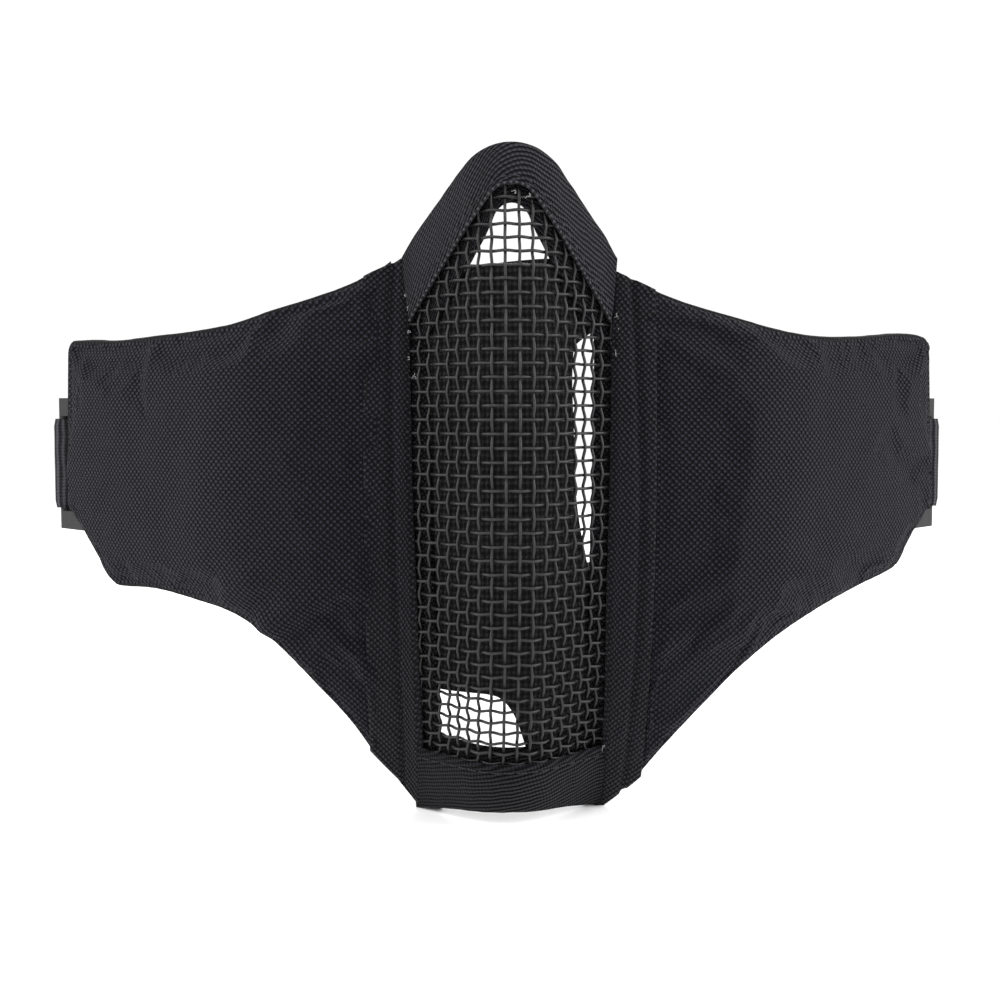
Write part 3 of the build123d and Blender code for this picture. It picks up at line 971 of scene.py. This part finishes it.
def settleWing(piece):
    rows, columns, border = wingPad["rows"] + 1, wingPad["columns"] + 1, wingPad["heldRows"]
    held = []
    for i in range(columns):
        for j in range(rows):
            if min(i, j, rows - 1 - j, columns - 1 - i) < border:
                held.append(i * rows + j)
    relaxCloth(piece, held, wingPad["simFrames"], wingPad["simCap"], wingPad["spare"])


def makeWingLining(side):
    alongs, shares = spread(wingPad["liningColumns"], 1), spread(wingPad["liningRows"], 1)
    return wingSheet(side, "Lining", alongs, shares, False, finishes["lining"])


edgeTape = {"width": 3.4, "proud": 0.55, "startIn": 1.0, "sideSteps": 89, "endSteps": 24, "crowd": 1.6,
            "sides": 10}


def wingRim():
    # the wing's edge as (run, share) pairs, from the seam's top round the end to the seam's bottom
    side, end, crowd = edgeTape["sideSteps"], edgeTape["endSteps"], edgeTape["crowd"]
    first = wingRunStart + edgeTape["startIn"]
    length = wingRunEnd - wingRunStart - edgeTape["startIn"]
    rim = [(first + length * (1 - (1 - i / side) ** crowd), 1.0) for i in range(side + 1)]
    rim += [(wingRunEnd, 1.0 - i / end) for i in range(1, end)]
    rim += [(wingRunEnd - length * (i / side) ** crowd, 0.0) for i in range(side + 1)]
    return rim


def makeEdgeTape(side):
    # a narrow folded tape that closes the pad's edge between cloth and lining
    sign = sideSign[side]
    path = []
    for run, share in wingRim():
        bottom, top = wingSpanAt(side, run)
        z = bottom + (top - bottom) * share
        path.append((sign * run, z))
    points, laid = [], []
    section = edgeTape["sides"]
    travelled = 0.0
    for i, (run, z) in enumerate(path):
        before, after = path[max(i - 1, 0)], path[min(i + 1, len(path) - 1)]
        ahead = Vector((after[0] - before[0], after[1] - before[1]))
        ahead.normalize()
        out = Vector((-ahead.y, ahead.x)) * sign
        if i:
            travelled += math.dist(path[i - 1], path[i])
        for k in range(section):
            turn = 2 * math.pi * k / section
            lift = wingPad["edgeLift"] + edgeTape["width"] / 2 * math.cos(turn)
            off = edgeTape["proud"] * math.sin(turn) * (1.0 if math.sin(turn) > 0 else 2.0)
            off += 0.08 * wobble(travelled * 0.4, k * 0.3)
            points.append(onFace(run + out.x * off, z + out.y * off, lift))
            laid.append((travelled, turn * edgeTape["width"] / 2, 0.0))
    faces = gridFaces(len(path), section, 0, True)
    piece = meshPiece(side + "EdgeTape", points, faces, laid, finishes["edge"])
    faceOut(piece)
    return piece


foamSlab = {"columns": 60, "rows": 40, "seamIn": 7, "endIn": 4, "edgeIn": 4.5, "middle": -1.7, "front": 1.7,
            "back": -1.6}


def makeFoam(side):
    # the pad inside the wing: a closed crowned slab
    columns, rows, edgeIn = foamSlab["columns"], foamSlab["rows"], foamSlab["edgeIn"]
    length = wingRunEnd - wingRunStart - foamSlab["seamIn"] - foamSlab["endIn"]
    points, laid = [], []
    for face in ("front", "back"):
        for i in range(columns + 1):
            run = wingRunStart + foamSlab["seamIn"] + length * i / columns
            bottom, top = wingSpanAt(side, run)
            for j in range(rows + 1):
                z = bottom + edgeIn + (top - bottom - 2 * edgeIn) * j / rows
                away = domed(min(i, columns - i) / 4.0) * domed(min(j, rows - j) / 3.0)
                lift = foamSlab["middle"] + foamSlab[face] * away
                points.append(onFace(sideSign[side] * run, z, lift))
                laid.append((run, z, lift))
    size = (columns + 1) * (rows + 1)
    faces = gridFaces(columns + 1, rows + 1)
    faces += [tuple(size + k for k in reversed(face)) for face in faces]
    piece = meshPiece(side + "FoamPad", points, faces, laid, finishes["foam"])
    faceOut(piece, merge=0.02 * mm)
    return piece


def reachPlace(side, reach):
    return (sideSign[side] * reach * mm, 0.0, 0.0)


def makeWing(side):
    body = side + "_wing"
    cloth = makeWingCloth(side)
    settleWing(cloth)
    thicken(cloth, wingPad["clothThick"])
    lining = makeWingLining(side)
    thicken(lining, wingPad["liningThick"])
    tape = makeEdgeTape(side)
    foam = makeFoam(side)
    for piece, node, slotName in (
        (cloth, "_wing_cloth", "wing_cloth"),
        (lining, "_lining", "lining"),
        (tape, "_edge_tape", "edge_tape"),
        (foam, "_foam_pad", "foam"),
    ):
        start, end = reachPlace(side, wingPad["bendStart"]), reachPlace(side, wingPad["bendEnd"])
        place(piece, side + node, slotName, "front", body, start, end)


for side in ("right", "left"):
    makeWing(side)
print("wings padded")

linerNet = {
    "left": -31.0,
    "right": [(-80.0, 25.5), (-40.0, 25.5), (-30.0, 23.6), (-22.0, 20.0), (-8.0, 17.3), (6.0, 16.8),
              (29.5, 16.6), (34.0, 21.5), (41.0, 20.0), (48.0, 13.0)],
    "bottom": [(-31.0, -52.6), (-19.0, -53.0), (-4.0, -53.0), (1.0, -58.0), (6.0, -70.0), (10.0, -75.0),
               (26.0, -77.0)],
    "top": 47.3,
    "lift": -2.3,
    "columns": 60,
    "rows": 90,
    "curveAcross": 1.28,  # guessed allowances for the curve in its flat size
    "curveDown": 1.06,
}


def makeLiner():
    points, laid = [], []
    columns, rows = linerNet["columns"], linerNet["rows"]
    left = linerNet["left"]
    widest = linerNet["right"][0][1]
    for i in range(columns + 1):
        across = i / columns
        nominal = left + (widest - left) * across
        bottom = heightAlong(linerNet["bottom"], nominal)
        top = linerNet["top"] + 0.07 * (nominal + 12.0) * soft((nominal + 12.0) / 10)
        for j in range(rows + 1):
            z = bottom + (top - bottom) * j / rows
            x = left + (heightAlong(linerNet["right"], z) - left) * across
            run = math.copysign(runAt(abs(x)), x)
            lift = linerNet["lift"] + 0.35 * wobble(run * 0.07, z * 0.06, 31.0)
            lift -= 0.5 * soft((x - 8) / 8) * soft((z + 20) / 20)
            points.append(onFace(run, z, lift))
            laid.append((run, z, 0.0))
    faces = gridFaces(columns + 1, rows + 1)
    piece = meshPiece("innerLiner", points, faces, laid, finishes["liner"])
    faceTowards(piece, -1)
    thicken(piece, 0.7)
    place(piece, "inner_liner", "liner", "front")


makeLiner()
print("liner hung")

webbing = {
    "width": 25.0,
    "thick": 1.5,
    "ring": 2.45,  # middle of the webbing's turn round a bar
    "wingEnd": 116.5,
    "tabFront": 5.29,
    "tabStart": -33.0,
    "barOut": 2.5,
    "barSpacing": 8.0,
    "barBack": 8.49,
    "sideRadius": 60.0,
    "sideAngle": math.radians(50),
    "tail": 26.0,
    "sag": 53.5,
    "steps": 12,
    "edgeRun": 1.4,
}

endX, endDepth, endHeading = planAt(runAt(webbing["wingEnd"]))
endPoint = Vector((endX, ridgeFront + endDepth))
alongWing = Vector((math.cos(endHeading), math.sin(endHeading)))
offBack = Vector((-math.sin(endHeading), math.cos(endHeading)))


def behindWing(along, off):
    # a place behind the wing's end, measured along the wing and off its back
    return endPoint + alongWing * along + offBack * off


def behindAt(along, off, flat=0.0):
    # the same on the wing's own curve, and then straight on
    radius = faceForm["wingRadius"] - off
    turn = along / radius
    return behindWing(radius * math.sin(turn) + flat, faceForm["wingRadius"] - radius * math.cos(turn))


def softenPath(path, rounds):
    for _ in range(rounds):
        inner = [(path[i - 1] + path[i] * 2 + path[i + 1]) / 4 for i in range(1, len(path) - 1)]
        path = [path[0]] + inner + [path[-1]]
    return path


def lengthsAlong(path):
    lengths = [0.0]
    for a, b in zip(path, path[1:]):
        lengths.append(lengths[-1] + (b - a).length)
    return lengths


def evenPath(path, step):
    # the same line with points at even distances
    lengths = lengthsAlong(path)
    count = max(2, int(lengths[-1] / step))
    made, k = [], 0
    for i in range(count + 1):
        want = lengths[-1] * i / count
        while k < len(path) - 2 and lengths[k + 1] < want:
            k += 1
        span = lengths[k + 1] - lengths[k]
        made.append(path[k].lerp(path[k + 1], (want - lengths[k]) / span if span else 0.0))
    return made


def makeBand(name, path, sign):
    # flat webbing along a path of x, y, z in mm, its width upright
    half, thick = webbing["width"] / 2, webbing["thick"] / 2
    steps = webbing["steps"]
    across = [-half + webbing["width"] * j / steps for j in range(steps + 1)]
    section = [(width, 1.0) for width in across] + [(width, -1.0) for width in reversed(across)]
    points, laid = [], []
    along = 0.0
    for i, spot in enumerate(path):
        ahead = path[min(i + 1, len(path) - 1)] - path[max(i - 1, 0)]
        flat = Vector((ahead.y, -ahead.x, 0)).normalized()
        if i:
            along += (spot - path[i - 1]).length
        for width, skin in section:
            edge = domed((half - abs(width)) / webbing["edgeRun"] + 0.12)
            ripple = 0.05 * wobble(along * 0.15, width * 0.2, 41.0 + skin)
            narrow = 1 - 0.012 * wobble(along * 0.08, 2.0, 5.0)
            off = skin * thick * edge + ripple
            spotAt = spot + flat * off + Vector((0, 0, width * narrow))
            points.append(Vector((sign * spotAt.x, spotAt.y, spotAt.z)) * mm)
            laid.append((along, width, skin))
    size = len(section)
    piece = meshPiece(name, points, gridFaces(len(path), size, 0, True), laid, finishes["webbing"])
    closeTube(piece, len(path), size)
    return piece


def tabPath():
    # front ply, round the inner bar, and back along the second ply
    front = webbing["tabFront"] + webbing["thick"] / 2
    start, barOut, ring = webbing["tabStart"], webbing["barOut"], webbing["ring"]
    path = []
    for i in range(20):
        along = start + (barOut - start) * i / 19
        path.append(behindAt(min(0.0, along), front, max(0.0, along)))
    for i in range(1, 15):
        turn = math.radians(-90 + 200 * i / 14)
        path.append(behindWing(barOut + ring * math.cos(turn), webbing["barBack"] + ring * math.sin(turn)))
    for i in range(1, 20):
        path.append(behindAt(-3.0 + (start + 1.5 + 3.0) * i / 19, front + webbing["thick"] * 1.02))
    return path


def barCentre():
    return behindWing(2 * webbing["barSpacing"] + webbing["barOut"], webbing["barBack"])


def strapSide(distance, inset=0.0):
    # along the strap from beside the outer bar, on its side curve
    radius = webbing["sideRadius"] - inset
    turn = distance / webbing["sideRadius"]
    start = barCentre() + Vector((webbing["ring"], 0))
    return start + Vector((-webbing["sideRadius"] + radius * math.cos(turn), radius * math.sin(turn)))


def strapEndPath():
    centre, ring = barCentre(), webbing["ring"]
    path = [strapSide(webbing["tail"] * (1 - i / 12)) for i in range(13)]
    for i in range(1, 15):
        turn = math.radians(-215 * i / 14)
        path.append(centre + Vector((math.cos(turn), math.sin(turn))) * ring)
    for i in range(1, 12):
        path.append(strapSide(5.0 + (webbing["tail"] - 6.0) * i / 11, webbing["thick"] * 1.03))
    return path


def headStrapPath():
    # round the side, then the back of the head, dropping smoothly to its middle
    start = barCentre() + Vector((webbing["ring"], 0))
    side = webbing["sideAngle"]
    backRadius = (start.x - webbing["sideRadius"] * (1 - math.cos(side))) / math.cos(side)
    first = (webbing["tail"] - 0.6) / webbing["sideRadius"]
    path = []
    count = 90
    for i in range(count + 1):
        share = i / count
        turn = first + (math.pi / 2 - first) * share
        sideTurn = min(turn, side)
        x = start.x - webbing["sideRadius"] * (1 - math.cos(sideTurn))
        y = start.y + webbing["sideRadius"] * math.sin(sideTurn)
        if turn > side:
            x -= backRadius * (math.cos(side) - math.cos(turn))
            y += backRadius * (math.sin(turn) - math.sin(side))
        z = -webbing["sag"] * (1 - math.cos(math.pi * share)) / 2
        path.append(Vector((x, y, z)))
    return path


def bandPath(path):
    # the middle line of a looped band, eased and evenly stepped
    level = [Vector((p.x, p.y, 0.0)) for p in evenPath(path, 0.5)]
    return evenPath(softenPath(level, 6), 0.8)


def fittingSpan(sign):
    # two places on the strap end, at the outer bar and at the end of its side curve, in metres
    return [(sign * p.x * mm, p.y * mm, 0.0) for p in (barCentre(), strapSide(webbing["tail"]))]


def makeStrapWork(side):
    sign = sideSign[side]
    wing, fitting = side + "_wing", side + "_strap_fitting"
    tab = makeBand(side + "Tab", bandPath(tabPath()), sign)
    place(tab, side + "_tab", "webbing", wing)
    strapEnd = makeBand(side + "StrapEnd", bandPath(strapEndPath()), sign)
    barPlace, farPlace = fittingSpan(sign)
    place(strapEnd, side + "_strap_end", "webbing", fitting, wing, barPlace, farPlace)
    half = makeBand(side + "HeadStrap", evenPath(headStrapPath(), 1.6), sign)
    back = headStrapPath()[-1]
    place(half, "head_strap", "webbing", "front", wing, (0.0, back.y * mm, 0.0), farPlace)
    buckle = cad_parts[side + "_buckle"]
    buckle.data.materials.clear()
    buckle.data.materials.append(finishes["plastic"])
    rounding = buckle.modifiers.new("rounding", "BEVEL")
    rounding.width = 0.35 * mm
    rounding.segments = 2
    rounding.limit_method = "ANGLE"


for side in ("right", "left"):
    makeStrapWork(side)
print("webbing threaded")

stitchRow = {"length": 2.4, "gap": 0.7, "radius": 0.17, "sink": 0.06, "steps": 6, "sides": 6}


def stitchPath(name, rows):
    # rows: lists of (place, outward) in metres; short stitches laid along each row
    points, faces, laid = [], [], []
    step = (stitchRow["length"] + stitchRow["gap"]) * mm
    steps = stitchRow["steps"]
    for row in rows:
        lengths = lengthsAlong([spot for spot, _ in row])
        for n in range(int(lengths[-1] / step)):
            path = []
            for k in range(steps + 1):
                want = n * step + stitchRow["length"] * mm * k / steps
                i = max(j for j in range(len(lengths)) if lengths[j] <= want)
                i = min(i, len(row) - 2)
                share = (want - lengths[i]) / max(1e-9, lengths[i + 1] - lengths[i])
                spot = row[i][0].lerp(row[i + 1][0], share)
                out = row[i][1].lerp(row[i + 1][1], share).normalized()
                dive = stitchRow["radius"] * (math.sin(math.pi * k / steps) ** 0.5 - 0.75)
                path.append(spot + out * (dive + stitchRow["sink"]) * mm)
            addTube(points, faces, laid, path, stitchRow["radius"], stitchRow["sides"])
    return meshPiece(name, points, faces, laid, finishes["thread"])


def rowOnFace(places, lift):
    # places as (run, height) on the front, with the outward direction at each
    return [(onFace(run, z, lift), faceNormal(run, z)) for run, z in places]


def tapeLine(column, count, share):
    # a line along a binding, at a share of its width from the inner edge
    return [between(*column(-1 + 2 * i / count), share) for i in range(count + 1)]


def makeFrontStitches():
    rows = [tapeLine(noseColumn, 160, 0.17), tapeLine(chinColumn, 160, 0.13)]
    piece = stitchPath("bindingStitches", [rowOnFace(row, 1.66) for row in rows])
    place(piece, None, "binding_tape", "front")


def makeWebbingStitches(side):
    sign = sideSign[side]
    # a sewn box with a cross on the tab's back
    corners = [(-31.0, -9.5), (-9.0, -9.5), (-9.0, 9.5), (-31.0, 9.5)]
    lines = [(corners[k], corners[(k + 1) % 4]) for k in range(4)]
    lines += [(corners[0], corners[2]), (corners[1], corners[3])]
    off = webbing["tabFront"] + 2 * webbing["thick"] + 0.05
    rows = []
    for (s0, z0), (s1, z1) in lines:
        row = []
        for i in range(25):
            spot, z = behindAt(s0 + (s1 - s0) * i / 24, off), z0 + (z1 - z0) * i / 24
            out = Vector((sign * offBack.x, offBack.y, 0.0))
            row.append((Vector((sign * spot.x, spot.y, z)) * mm, out))
        rows.append(row)
    piece = stitchPath(side + "TabStitches", rows)
    place(piece, None, "webbing", side + "_wing")
    rows = []
    for distance in (15.0, 20.0):
        for inset, way in ((-webbing["thick"] / 2, 1), (webbing["thick"] * 1.53, -1)):
            row = []
            for i in range(21):
                z = -11 + 22 * i / 20
                spot = strapSide(distance, inset)
                turn = distance / webbing["sideRadius"]
                out = Vector((sign * way * math.cos(turn), way * math.sin(turn), 0.0))
                row.append((Vector((sign * spot.x, spot.y, z)) * mm, out))
            rows.append(row)
    piece = stitchPath(side + "StrapStitches", rows)
    place(piece, None, "webbing", side + "_strap_fitting", side + "_wing", *fittingSpan(sign))


makeFrontStitches()
for side in ("right", "left"):
    makeWebbingStitches(side)


def makePiping():
    # the thin raised edge of the nose tape round the opening
    path = [onFace(run, z, 1.5) for run, z in tapeLine(noseColumn, 180, 0.015)]
    points, faces, laid = [], [], []
    addTube(points, faces, laid, path, 0.34, 8)
    piece = meshPiece("nosePiping", points, faces, laid, finishes["webbing"])
    place(piece, None, "binding_tape", "front")


makePiping()

strayFibres = [(-23.6, 41.0), (-23.2, 38.5), (-22.6, 33.0), (-22.4, 27.0), (-20.9, 22.5), (24.6, 36.5),
               (25.2, 33.5), (24.0, 28.0), (23.4, -67.5), (22.6, -68.6), (0.6, 63.5), (3.2, 62.2)]


def makeStrayFibres():
    points, faces, laid = [], [], []
    for x, z in strayFibres:
        run = math.copysign(runAt(abs(x)), x)
        for _ in range(3):
            heading = random.uniform(0, 2 * math.pi)
            curl = random.uniform(-2.5, 2.5)
            path = []
            for k in range(7):
                a = heading + curl * k / 6
                size = 0.13 * k
                lift = 2.0 + 0.12 * math.sin(k)
                path.append(onFace(run + size * math.cos(a), z + size * math.sin(a), lift))
            addTube(points, faces, laid, path, 0.07, 5)
    piece = meshPiece("strayFibres", points, faces, laid, finishes["lint"])
    place(piece, None, "binding_tape", "front")


makeStrayFibres()
print("stitched")
